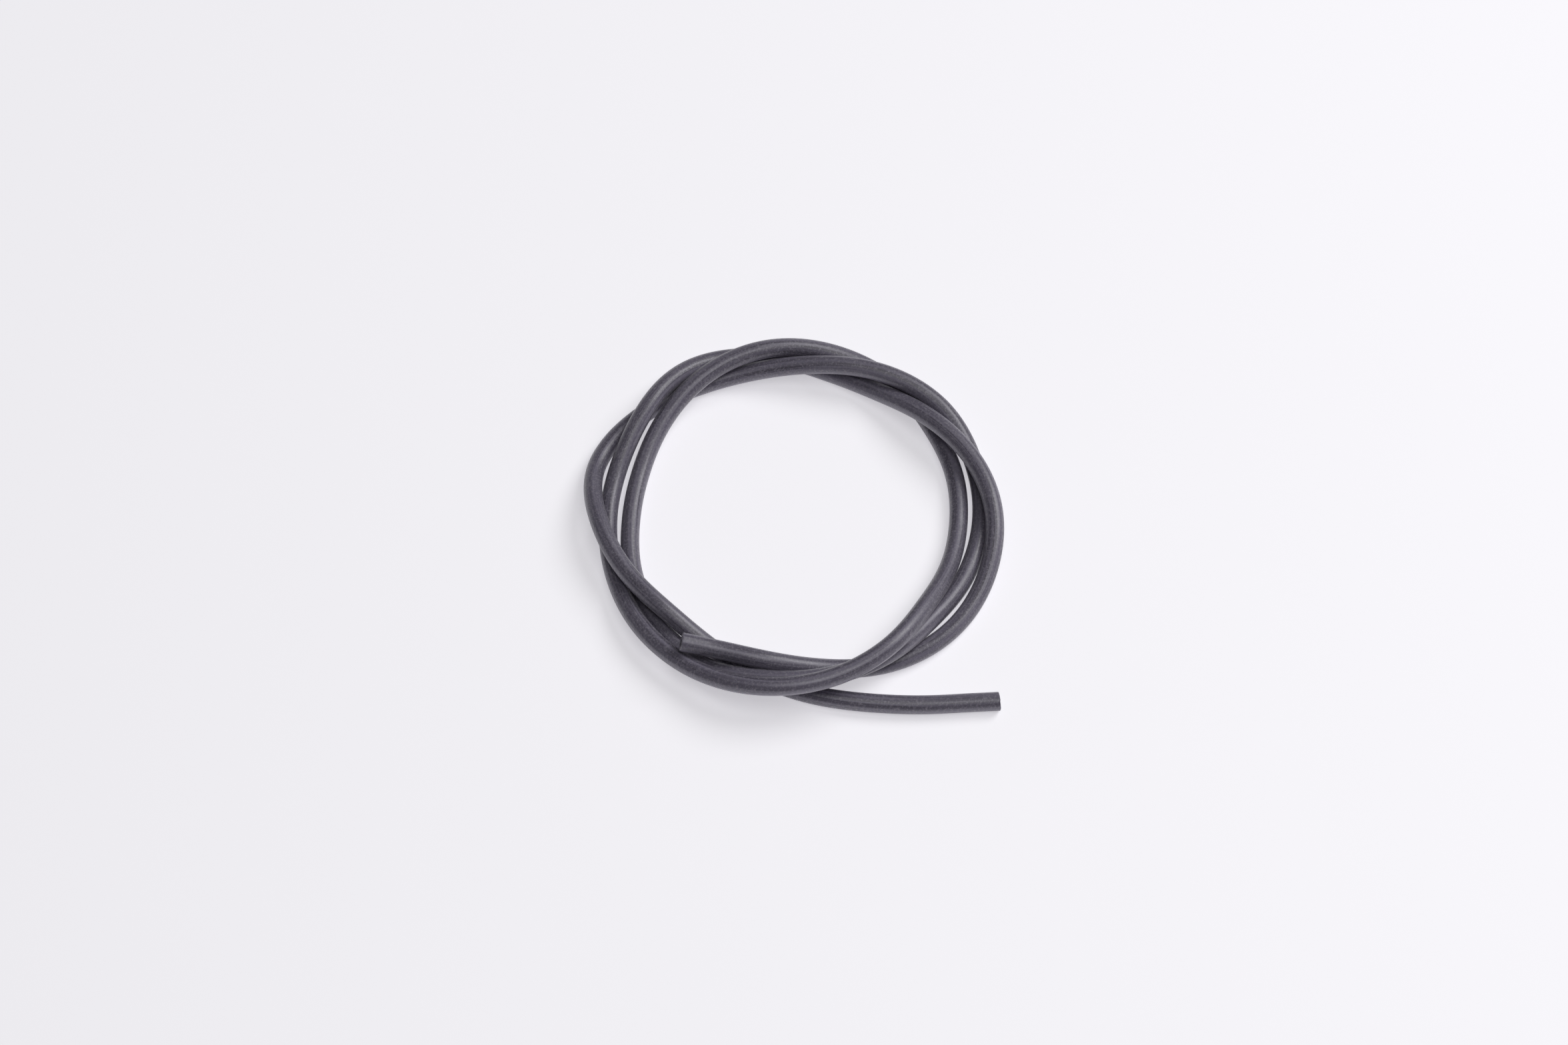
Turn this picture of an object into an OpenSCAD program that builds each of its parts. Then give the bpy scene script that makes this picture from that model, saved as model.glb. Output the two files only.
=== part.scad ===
// Plain rubber tube, loosely coiled three and a quarter turns, cut square and open at both ends.
// Frame: origin under the middle of the coil, on the surface that it lies on, +Z up.
// The centreline starts at the upper end and runs anticlockwise, seen from above, to the lower end.

/* [Tube] */
// Outside diameter of the tube
outside_d = 5; // [4:0.1:5]
// Inside diameter of the tube
inside_d = 3; // [2:0.1:3.6]

/* [Ends] */
// Length of the straight stretch at each end
end_length = 6.5; // [5:0.5:8]
// Direction in which the upper end points, in degrees from +X
upper_heading = 173; // [171:1:175]
// Angle by which the upper end lifts off the strands under it, in degrees
upper_rise = 12; // [10:1:14]
// Direction in which the lower end points, in degrees from +X
lower_heading = 3; // [0:0.5:5]

/* [Facets] */
// Number of sides of the swept stretch
tube_sides = 12; // [8:1:12]
// Angle round the coil between two rings of facets, in degrees
ring_step = 15; // [10:5:20]
// Number of sides of the two straight ends
end_sides = 96; // [48:12:144]

/* [Hidden] */

tube_colour = [0.37, 0.36, 0.4];
outside_r = outside_d / 2;
inside_r = inside_d / 2;

// Centreline of the coil, as [distance from the origin, height], every station_step degrees.
first_angle = -120;
station_step = 20;
COIL = [
    // From the upper end, over the lower strands, down to the surface and out to the right
    [46.5, 9.5], [44, 8], [44, 3.5], [48, 2.5], [51.5, 2.5], [53, 3.5],
    // First time round: over the right side, along the surface at the far side, over the left side
    [53, 7], [50.5, 8.5], [47, 8.5], [46.5, 4.5], [49, 2.5], [53.5, 2.5],
    [55, 5.5], [51.5, 8.5], [50, 3.5], [49.5, 2.5], [50, 3.5], [51.5, 5.5],
    // Second time round: on top at the near side, inside and on the surface at the right side
    [52.5, 7], [53.5, 11], [52, 12.5], [49, 13.5], [44.5, 10], [43, 5],
    [43.5, 2.5], [45.5, 2.5], [48, 2.5], [52, 2.5], [53, 6], [51.5, 9.5],
    [49.5, 8], [46.5, 5], [44, 2.5], [43.5, 2.5], [45, 2.5], [46.5, 2.5],
    // Third time round: between the others at the near side, outermost at the left side
    [48.5, 3], [49.5, 7.5], [49, 8], [48.5, 8.5], [46.5, 5], [47.5, 2.5],
    [49.5, 2.5], [51.5, 2.5], [52.5, 6], [50, 9], [47.5, 8.5], [48, 5],
    [50.5, 2.5], [53.5, 2.5], [55.8, 3], [52, 7.5], [47.5, 8], [44, 7.5],
    // Under everything at the near side, and out to the lower end
    [43, 3], [46.5, 2.5], [52.5, 2.5], [62, 2.5]
];
// Where the lower straight end starts
lower_joint = [47, -53, 2.5];

function heading(angle, rise = 0) = [cos(rise) * cos(angle), cos(rise) * sin(angle), sin(rise)];
function unit(v) = v / norm(v);

route = concat(
    [for (i = [0 : len(COIL) - 1])
        COIL[i][0] * heading(first_angle + i * station_step) + [0, 0, COIL[i][1]]],
    [lower_joint]
);
last = len(route) - 1;

// The centreline is a cubic B-spline. Its slope is the straight ends' own direction at both joints.
lead_in = -norm(route[1] - route[0]) * heading(upper_heading, upper_rise);
lead_out = norm(route[last] - route[last - 1]) * heading(lower_heading);
function padded(c) = concat([c[1] - 2 * lead_in], c, [c[last - 1] + 2 * lead_out]);

// Each pass moves the control points, until the curve goes through every point of the route.
passes = 16;
function moved(c, e) = [for (i = [0 : last]) c[i] + route[i] - (e[i] + 4 * e[i + 1] + e[i + 2]) / 6];
function settled(c, count) = count == 0 ? padded(c) : settled(moved(c, padded(c)), count - 1);
controls = settled(route, passes);

// Weights of the four control points around a place t, from 0 to 1, between two stations
function weights(t) = [
    pow(1 - t, 3),
    3 * pow(t, 3) - 6 * pow(t, 2) + 4,
    -3 * pow(t, 3) + 3 * pow(t, 2) + 3 * t + 1,
    pow(t, 3)
] / 6;

// The tube lies on the surface where the curve would dip below it.
function on_surface(p) = [p[0], p[1], max(p[2], outside_r)];
function curve(u) =
    let (k = min(floor(u), last - 1), w = weights(u - k))
    on_surface(w[0] * controls[k] + w[1] * controls[k + 1] + w[2] * controls[k + 2] + w[3] * controls[k + 3]);

// Rings of facets: at equal angles round the coil, then two more to the lower joint
ring_gap = ring_step / station_step;
centres = [for (u = concat([for (v = [0 : ring_gap : last - 1]) v], [last - 0.5, last])) curve(u)];
end_ring = len(centres) - 1;
function along(i) =
    i == 0 ? unit(lead_in) :
    i == end_ring ? unit(lead_out) :
    unit(centres[i + 1] - centres[i - 1]);

function ring(i, radius) =
    let (side = unit(cross([0, 0, 1], along(i))), top = cross(along(i), side))
    [for (j = [0 : tube_sides - 1])
        centres[i] + radius * (cos(j * 360 / tube_sides) * side + sin(j * 360 / tube_sides) * top)];

// Quads of a wall between two neighbouring rings of points, whose first points are a and b
function wall(a, b) = [for (j = [0 : tube_sides - 1])
    let (n = (j + 1) % tube_sides)
    [a + j, a + n, b + n, b + j]];

upper_place = curve(0);
lower_place = lower_joint;

module tube_run() {
    rings = end_ring + 1;
    skin = tube_sides * rings;
    points = concat(
        [for (i = [0 : end_ring]) each ring(i, outside_r)],
        [for (i = [0 : end_ring]) each ring(i, inside_r)]
    );
    faces = concat(
        [for (i = [0 : end_ring - 1]) each wall(i * tube_sides, (i + 1) * tube_sides)],
        [for (i = [0 : end_ring - 1]) each wall(skin + (i + 1) * tube_sides, skin + i * tube_sides)],
        wall(skin, 0),
        wall(end_ring * tube_sides, skin + end_ring * tube_sides)
    );
    color(tube_colour)
        polyhedron(points = points, faces = faces, convexity = 20);
}

module straight_end(place, angle, rise) {
    color(tube_colour)
        translate(place)
            rotate([0, 0, angle])
                rotate([0, 90 - rise, 0])
                    difference() {
                        cylinder(d = outside_d, h = end_length, $fn = end_sides);
                        translate([0, 0, -1])
                            cylinder(d = inside_d, h = end_length + 2, $fn = end_sides);
                    }
}

module upper_end() {
    straight_end(upper_place, upper_heading, upper_rise);
}

module lower_end() {
    straight_end(lower_place, lower_heading, 0);
}

tube_run();
upper_end();
lower_end();
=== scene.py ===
"""A plain rubber tube in a loose coil, on a pale surface in soft studio light. Lengths are in metres."""

import math

import bpy
import numpy as np
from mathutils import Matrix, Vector


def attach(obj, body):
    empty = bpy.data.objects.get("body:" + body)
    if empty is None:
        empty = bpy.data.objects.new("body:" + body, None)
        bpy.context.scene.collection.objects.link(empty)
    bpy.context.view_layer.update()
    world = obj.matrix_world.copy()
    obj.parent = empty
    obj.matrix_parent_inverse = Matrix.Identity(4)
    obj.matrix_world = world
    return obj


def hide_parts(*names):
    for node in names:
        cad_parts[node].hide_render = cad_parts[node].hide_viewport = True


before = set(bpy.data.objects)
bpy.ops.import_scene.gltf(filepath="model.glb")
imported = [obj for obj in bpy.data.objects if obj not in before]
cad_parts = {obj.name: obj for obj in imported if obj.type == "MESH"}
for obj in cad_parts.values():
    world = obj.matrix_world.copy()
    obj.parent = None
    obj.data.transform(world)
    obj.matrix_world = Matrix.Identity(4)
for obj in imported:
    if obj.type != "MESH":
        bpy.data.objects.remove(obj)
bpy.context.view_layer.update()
scene = bpy.context.scene

# ---------------------------------------------------------------- camera
OUTSIDE_R = 0.0025  # the tube's
ELEVATION = math.radians(60)
DISTANCE = 1.5
LENS = 129.7
SENSOR = 36
# The view's middle, from the coil's middle at the height of the lowest centreline: to the right, and upwards
ASIDE, ABOVE = -0.00274, 0.00106

right = Vector((1, 0, 0))
look = Vector((0, math.cos(ELEVATION), -math.sin(ELEVATION)))
up = Vector((0, math.sin(ELEVATION), math.cos(ELEVATION)))
camera_data = bpy.data.cameras.new("camera")
camera_data.lens, camera_data.sensor_width = LENS, SENSOR
camera_data.clip_start, camera_data.clip_end = 0.05, 20
camera = bpy.data.objects.new("camera", camera_data)
scene.collection.objects.link(camera)
camera.location = Vector((0, 0, OUTSIDE_R)) - look * DISTANCE + right * ASIDE + up * ABOVE
camera.rotation_euler = (math.pi / 2 - ELEVATION, 0, 0)
scene.camera = camera

# ---------------------------------------------------------------- the tube's route, as in the CAD
INSIDE_R = 0.0015
END_LENGTH = 0.0065
UPPER_HEADING, UPPER_RISE, LOWER_HEADING = 173, 12, 3

# [distance from the origin, height] every STATION_STEP degrees round the coil
FIRST_ANGLE, STATION_STEP = -120, 20
COIL = [
    # From the upper end, over the lower strands, down to the surface and out to the right
    [0.0465, 0.0095], [0.044, 0.008], [0.044, 0.0035], [0.048, 0.0025], [0.0515, 0.0025], [0.053, 0.0035],
    # First time round: over the right side, along the surface at the far side, over the left side
    [0.053, 0.007], [0.0505, 0.0085], [0.047, 0.0085], [0.0465, 0.0045], [0.049, 0.0025], [0.0535, 0.0025],
    [0.055, 0.0055], [0.0515, 0.0085], [0.05, 0.0035], [0.0495, 0.0025], [0.05, 0.0035], [0.0515, 0.0055],
    # Second time round: on top at the near side, inside and on the surface at the right side
    [0.0525, 0.007], [0.0535, 0.011], [0.052, 0.0125], [0.049, 0.0135], [0.0445, 0.01], [0.043, 0.005],
    [0.0435, 0.0025], [0.0455, 0.0025], [0.048, 0.0025], [0.052, 0.0025], [0.053, 0.006], [0.0515, 0.0095],
    [0.0495, 0.008], [0.0465, 0.005], [0.044, 0.0025], [0.0435, 0.0025], [0.045, 0.0025], [0.0465, 0.0025],
    # Third time round: between the others at the near side, outermost at the left side
    [0.0485, 0.003], [0.0495, 0.0075], [0.049, 0.008], [0.0485, 0.0085], [0.0465, 0.005], [0.0475, 0.0025],
    [0.0495, 0.0025], [0.0515, 0.0025], [0.0525, 0.006], [0.05, 0.009], [0.0475, 0.0085], [0.048, 0.005],
    [0.0505, 0.0025], [0.0535, 0.0025], [0.0558, 0.003], [0.052, 0.0075], [0.0475, 0.008], [0.044, 0.0075],
    # Under everything at the near side, and out to the lower end
    [0.043, 0.003], [0.0465, 0.0025], [0.0525, 0.0025], [0.062, 0.0025],
]
LOWER_JOINT = [0.047, -0.053, 0.0025]
PASSES = 16
STEPS_PER_STATION, END_STEPS = 12, 6


def heading(angle, rise=0):
    a, r = math.radians(angle), math.radians(rise)
    return np.array([math.cos(r) * math.cos(a), math.cos(r) * math.sin(a), math.sin(r)])


def route():
    points = []
    for i, (distance, height) in enumerate(COIL):
        points.append(distance * heading(FIRST_ANGLE + STATION_STEP * i) + [0, 0, height])
    return np.array(points + [np.array(LOWER_JOINT)])


def spline_controls(points):
    """Control points of the cubic B-spline that goes through every point, with the ends' own directions."""
    lead_in = -np.linalg.norm(points[1] - points[0]) * heading(UPPER_HEADING, UPPER_RISE)
    lead_out = np.linalg.norm(points[-1] - points[-2]) * heading(LOWER_HEADING)

    def padded(c):
        return np.vstack([c[1] - 2 * lead_in, c, c[-2] + 2 * lead_out])

    c = points.copy()
    for _ in range(PASSES):
        e = padded(c)
        c = c + points - (e[:-2] + 4 * e[1:-1] + e[2:]) / 6
    return padded(c)


def spline(controls, places):
    """The curve's points, at places counted in stations. The tube never dips below the surface."""
    k = np.minimum(places.astype(int), len(controls) - 4)
    t = (places - k)[:, None]
    weights = (1 - t) ** 3, 3 * t**3 - 6 * t**2 + 4, -3 * t**3 + 3 * t**2 + 3 * t + 1, t**3
    curve = sum(weight * controls[k + n] for n, weight in enumerate(weights)) / 6
    curve[:, 2] = np.maximum(curve[:, 2], OUTSIDE_R)
    return curve


def centreline():
    points = route()
    last = len(points) - 1
    run = spline(spline_controls(points), np.linspace(0, last, last * STEPS_PER_STATION + 1))
    out = np.linspace(END_LENGTH, 0, END_STEPS, endpoint=False)[:, None]
    upper = run[0] + out * heading(UPPER_HEADING, UPPER_RISE)
    lower = run[-1] + out[::-1] * heading(LOWER_HEADING)
    return np.vstack([upper, run, lower])


# ---------------------------------------------------------------- the tube's mesh
SIDES = 48
# Extra rings close to each cut, by their distance from it
CUT_RINGS = np.array([0.0, 0.00004, 0.0001, 0.0002, 0.0004])
ROUNDING, ROUNDING_LENGTH = 0.0001, 0.0002  # depth and length of a cut's rounded edges
BORE_ROUNDING = 0.8  # the same at the bore's edge, as a share of it
LEAN, LEAN_LENGTH = 0.00016, 0.0005  # how far the lower cut leans at its rim, and how soon that fades
WAVE, RIPPLE = 0.00004, 0.00003  # how far the cut faces are out of flat
FLARE, FLARE_LENGTH = 0.00002, 0.0022  # the lower end opens a little
SWELL_OUTSIDE, SWELL_INSIDE = 0.008, 0.006  # greatest variation of each radius, as a share of it
SWELL_SHIFT = 0.01  # how far the two variations are shifted along the tube
# How the lines of extrusion turn round the tube: radians per metre, a swing to both sides, its length
TURN_RATE, TURN_SWING, SWING_LENGTH = 3.1, 0.9, 0.11


def unit(v):
    return v / np.linalg.norm(v, axis=-1, keepdims=True)


def swell(s):
    """The faint variation in thickness along an extruded tube, from 0 to 1."""
    waves = 0.25 * np.sin(s / 0.0137 + 0.6) + 0.15 * np.sin(s / 0.0052 + 2.1) + 0.1 * np.sin(s / 0.0313)
    return 0.5 + waves


def build_tube():
    centre = centreline()
    s = np.concatenate([[0], np.cumsum(np.linalg.norm(np.diff(centre, axis=0), axis=1))])
    total = s[-1]
    tangent = unit(np.vstack([centre[1] - centre[0], centre[2:] - centre[:-2], centre[-1] - centre[-2]]))

    places = np.concatenate([CUT_RINGS, s[1:-1], total - CUT_RINGS[::-1]])
    n = len(places)
    at = np.stack([np.interp(places, s, centre[:, k]) for k in range(3)], 1)
    along = unit(np.stack([np.interp(places, s, tangent[:, k]) for k in range(3)], 1))
    side = unit(np.cross([0, 0, 1.0], along))
    top = np.cross(along, side)

    from_cut = np.minimum(places, total - places)
    rounding = np.clip(1 - from_cut / ROUNDING_LENGTH, 0, 1) ** 2 * ROUNDING
    flare = np.exp(-np.maximum(total - places, 0) / FLARE_LENGTH) * FLARE
    outer = OUTSIDE_R * (1 - SWELL_OUTSIDE * swell(places)) - rounding + flare
    inner = INSIDE_R * (1 + SWELL_INSIDE * swell(places + SWELL_SHIFT)) + rounding * BORE_ROUNDING + flare

    # Neither cut is quite flat, and the lower one isn't quite square
    angle = np.arange(SIDES) * 2 * math.pi / SIDES
    lean = np.zeros((n, SIDES))
    lean[places < LEAN_LENGTH] = WAVE * np.sin(3 * angle + 1) + RIPPLE * np.sin(7 * angle)
    lean[places > total - LEAN_LENGTH] = -LEAN * np.cos(angle) + RIPPLE * np.sin(5 * angle)
    lean *= np.clip(1 - from_cut / LEAN_LENGTH, 0, 1)[:, None]

    def rings(radius):
        spoke = np.cos(angle)[None, :, None] * side[:, None] + np.sin(angle)[None, :, None] * top[:, None]
        return at[:, None] + radius[:, None, None] * spoke + lean[:, :, None] * along[:, None]

    shells = [rings(outer), rings(inner)]
    # A ring in the middle of each cut's face, where the blade has dragged the rubber
    burr = WAVE * np.sin(4 * angle + 0.7) + RIPPLE * (1 + np.sin(11 * angle))
    middle = []
    for k, sign in ((0, -1), (n - 1, 1)):
        ring = (shells[0][k] + shells[1][k]) / 2
        middle.append(ring + (sign * burr)[:, None] * along[k])

    points = np.concatenate([shells[0].reshape(-1, 3), shells[1].reshape(-1, 3), middle[0], middle[1]])
    j = np.arange(SIDES)
    nxt = (j + 1) % SIDES

    def wall(a, b):
        """Quads between two rings of points, whose first points are a and b."""
        return np.stack([a + j, a + nxt, b + nxt, b + j], 1)

    skin = n * SIDES
    mid_first, mid_last = 2 * skin, 2 * skin + SIDES
    faces = [wall(i * SIDES, (i + 1) * SIDES) for i in range(n - 1)]
    faces += [wall(skin + (i + 1) * SIDES, skin + i * SIDES) for i in range(n - 1)]
    faces += [wall(mid_first, 0), wall(skin, mid_first)]
    faces += [wall((n - 1) * SIDES, mid_last), wall(mid_last, skin + (n - 1) * SIDES)]
    faces = np.concatenate(faces)

    mesh = bpy.data.meshes.new("rubber_tube")
    mesh.from_pydata(points.tolist(), [], faces.tolist())
    mesh.validate()
    mesh.polygons.foreach_set("use_smooth", np.ones(len(mesh.polygons), bool))
    tube = bpy.data.objects.new("rubber_tube", mesh)
    scene.collection.objects.link(tube)

    # Where a point lies on the tube's own skin: cosine and sine round it, and the way along it
    turn = TURN_SWING * np.sin(places / SWING_LENGTH) + places * TURN_RATE
    grain = np.zeros((len(points), 3))
    for base in (0, skin):
        a = (angle[None, :] + turn[:, None]).ravel()
        grain[base : base + skin] = np.stack([np.cos(a), np.sin(a), np.repeat(places, SIDES)], 1)
    for base, k in ((mid_first, 0), (mid_last, n - 1)):
        a = angle + turn[k]
        grain[base : base + SIDES] = np.stack([np.cos(a), np.sin(a), np.full(SIDES, places[k])], 1)
    attribute = mesh.attributes.new("grain", "FLOAT_VECTOR", "POINT")
    attribute.data.foreach_set("vector", grain.astype(np.float32).ravel())

    # 1 on the cut faces and their edges, 0 elsewhere
    cut = np.zeros(len(points))
    for base in (0, skin - SIDES, skin, 2 * skin - SIDES, mid_first, mid_last):
        cut[base : base + SIDES] = 1
    attribute = mesh.attributes.new("cut", "FLOAT", "POINT")
    attribute.data.foreach_set("value", cut.astype(np.float32))
    return tube, centre


tube, centre = build_tube()
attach(tube, "root")
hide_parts("tube_run", "upper_end", "lower_end")


# ---------------------------------------------------------------- materials
# The rubber's colours: darker and lighter lines, what lies over them, and a painted highlight on the cut
# faces
DARK, LIGHT = (0.106, 0.095, 0.131, 1), (0.212, 0.194, 0.256, 1)
BLOOM_COLOUR = (0.17, 0.158, 0.2, 1)
FINE_LINE_COLOUR = (0.045, 0.04, 0.056, 1)
COARSE_COLOUR = (0.3, 0.282, 0.335, 1)
SPECKLE_COLOUR = (0.42, 0.41, 0.45, 1)
# Painted highlight: the cut faces are mixed towards this lighter grey, as if they caught the light
CUT_PAINTED_HIGHLIGHT, CUT_HIGHLIGHT_SHARE = (0.2, 0.19, 0.22, 1), 0.35
# Roughness: the least, what the bloom adds where it is full, and what a cut adds
ROUGH, ROUGH_BLOOM, ROUGH_CUT = 0.31, 0.12, 0.2
# Shares of the bump's height
LINE_HEIGHT, COARSE_HEIGHT, SPECKLE_HEIGHT = 0.6, 0.5, 0.35
# The lines' noise is measured in radii round the tube, and in quarters of a metre along it
LINE_SCALE = (1, 1, 4)

FLOOR_DARK, FLOOR_LIGHT = (0.83, 0.822, 0.86, 1), (0.85, 0.843, 0.878, 1)
# Painted light: the floor glows, though it is no lamp, to lift its shade beside the tube and light the tube
# from below
FLOOR_GLOW, FLOOR_GLOW_STRENGTH = (0.98, 0.965, 1.0, 1), 0.47


class Nodes:
    """A short way to write a node tree."""

    def __init__(self, name):
        self.material = bpy.data.materials.new(name)
        self.material.use_nodes = True
        self.tree = self.material.node_tree
        self.tree.nodes.clear()
        self.place = self.add("ShaderNodeTexCoord").outputs["Object"]

    def add(self, kind, values=None, **options):
        node = self.tree.nodes.new(kind)
        for k, v in options.items():
            setattr(node, k, v)
        for k, v in (values or {}).items():
            if isinstance(v, bpy.types.NodeSocket):
                self.tree.links.new(v, node.inputs[k])
            else:
                node.inputs[k].default_value = v
        return node

    def ramp(self, fac, stops):
        """Grey values between the stops, each a place and a value."""
        node = self.add("ShaderNodeValToRGB", {"Fac": fac})
        for element, (place, value) in zip(node.color_ramp.elements, stops):
            element.position = place
            element.color = (value, value, value, 1)
        return node.outputs["Color"]

    def noise(self, vector, scale, detail, rough=0.5):
        values = {"Vector": vector, "Scale": scale, "Detail": detail, "Roughness": rough}
        return self.add("ShaderNodeTexNoise", values).outputs["Fac"]

    def times(self, a, b):
        return self.add("ShaderNodeMath", {0: a, 1: b}, operation="MULTIPLY").outputs[0]

    def times_plus(self, a, b, c):
        return self.add("ShaderNodeMath", {0: a, 1: b, 2: c}, operation="MULTIPLY_ADD").outputs[0]

    def mix(self, fac, a, b):
        return self.add("ShaderNodeMix", {0: fac, 6: a, 7: b}, data_type="RGBA").outputs[2]

    def shade(self, values):
        shader = self.add("ShaderNodeBsdfPrincipled", values)
        self.add("ShaderNodeOutputMaterial", {"Surface": shader.outputs[0]})
        return self.material


def rubber():
    m = Nodes("rubber")
    grain = m.add("ShaderNodeAttribute", attribute_name="grain").outputs["Vector"]
    cut = m.add("ShaderNodeAttribute", attribute_name="cut").outputs["Fac"]

    # Lines along the tube, from the extrusion die
    lines = m.add("ShaderNodeMapping", {"Vector": grain, "Scale": LINE_SCALE}).outputs["Vector"]
    broad_lines = m.noise(lines, scale=2.6, detail=1)
    fine_lines = m.noise(lines, scale=9, detail=2)
    # Cloudy bloom, and the coarse and fine speckle of dust and filler
    bloom = m.noise(m.place, scale=260, detail=3, rough=0.6)
    coarse = m.noise(m.place, scale=1700, detail=2, rough=0.65)
    speckle = m.noise(m.place, scale=5200, detail=1)

    colour = m.mix(m.ramp(broad_lines, [(0.35, 0), (0.65, 1)]), DARK, LIGHT)
    colour = m.mix(m.ramp(bloom, [(0.3, 0), (0.75, 0.35)]), colour, BLOOM_COLOUR)
    colour = m.mix(m.ramp(fine_lines, [(0.3, 0.75), (0.48, 0)]), colour, FINE_LINE_COLOUR)
    colour = m.mix(m.ramp(coarse, [(0.48, 0), (0.72, 0.75)]), colour, COARSE_COLOUR)
    colour = m.mix(m.ramp(speckle, [(0.66, 0), (0.74, 0.6)]), colour, SPECKLE_COLOUR)
    # Painted highlight: the cut faces are lightened where they would catch the light
    colour = m.mix(m.times(cut, CUT_HIGHLIGHT_SHARE), colour, CUT_PAINTED_HIGHLIGHT)

    rough = m.times_plus(cut, ROUGH_CUT, m.times_plus(bloom, ROUGH_BLOOM, ROUGH))
    height = m.times_plus(fine_lines, LINE_HEIGHT, m.times(coarse, COARSE_HEIGHT))
    height = m.times_plus(speckle, SPECKLE_HEIGHT, height)
    bump = m.add("ShaderNodeBump", {"Strength": 0.7, "Distance": 0.00006, "Height": height})
    return m.shade({
        "Base Color": colour,
        "Roughness": rough,
        "Normal": bump.outputs["Normal"],
        "IOR": 1.66,
        "Sheen Weight": 0.15,
        "Sheen Roughness": 0.4,
    })


def pale_surface():
    m = Nodes("pale_surface")
    return m.shade({
        "Base Color": m.mix(m.noise(m.place, scale=3, detail=2), FLOOR_DARK, FLOOR_LIGHT),
        "Roughness": 0.5,
        "IOR": 1.45,
        # Painted light: a glow that lifts the floor's shadows and lights the tube's undersides
        "Emission Color": FLOOR_GLOW,
        "Emission Strength": FLOOR_GLOW_STRENGTH,
    })


tube.data.materials.append(rubber())

# ---------------------------------------------------------------- surface, light
HALF_FLOOR = 4.0
ROOM_COLOUR, ROOM_STRENGTH = (0.98, 0.975, 1.0, 1), 0.06

corners = [(HALF_FLOOR * x, HALF_FLOOR * y, 0) for x, y in ((-1, -1), (1, -1), (1, 1), (-1, 1))]
floor_mesh = bpy.data.meshes.new("surface")
floor_mesh.from_pydata(corners, [], [(0, 1, 2, 3)])
surface = bpy.data.objects.new("surface", floor_mesh)
scene.collection.objects.link(surface)
surface.data.materials.append(pale_surface())

world = bpy.data.worlds.new("studio")
scene.world = world
world.use_nodes = True
background = world.node_tree.nodes["Background"]
background.inputs["Color"].default_value = ROOM_COLOUR
background.inputs["Strength"].default_value = ROOM_STRENGTH


def soft_light(name, where, size, power):
    """A round soft light that points at the coil."""
    data = bpy.data.lights.new(name, "AREA")
    data.shape, data.size, data.energy = "DISK", size, power
    light = bpy.data.objects.new(name, data)
    scene.collection.objects.link(light)
    light.location = where
    light.rotation_euler = (-Vector(where)).to_track_quat("-Z", "Y").to_euler()


soft_light("key", (1.25, 0.7, 1.55), size=1.3, power=19)
soft_light("top", (0.3, -0.55, 2.1), size=1.2, power=9)

scene.view_settings.view_transform = "Standard"
scene.view_settings.look = "None"
scene.view_settings.exposure = 0
scene.view_settings.gamma = 1
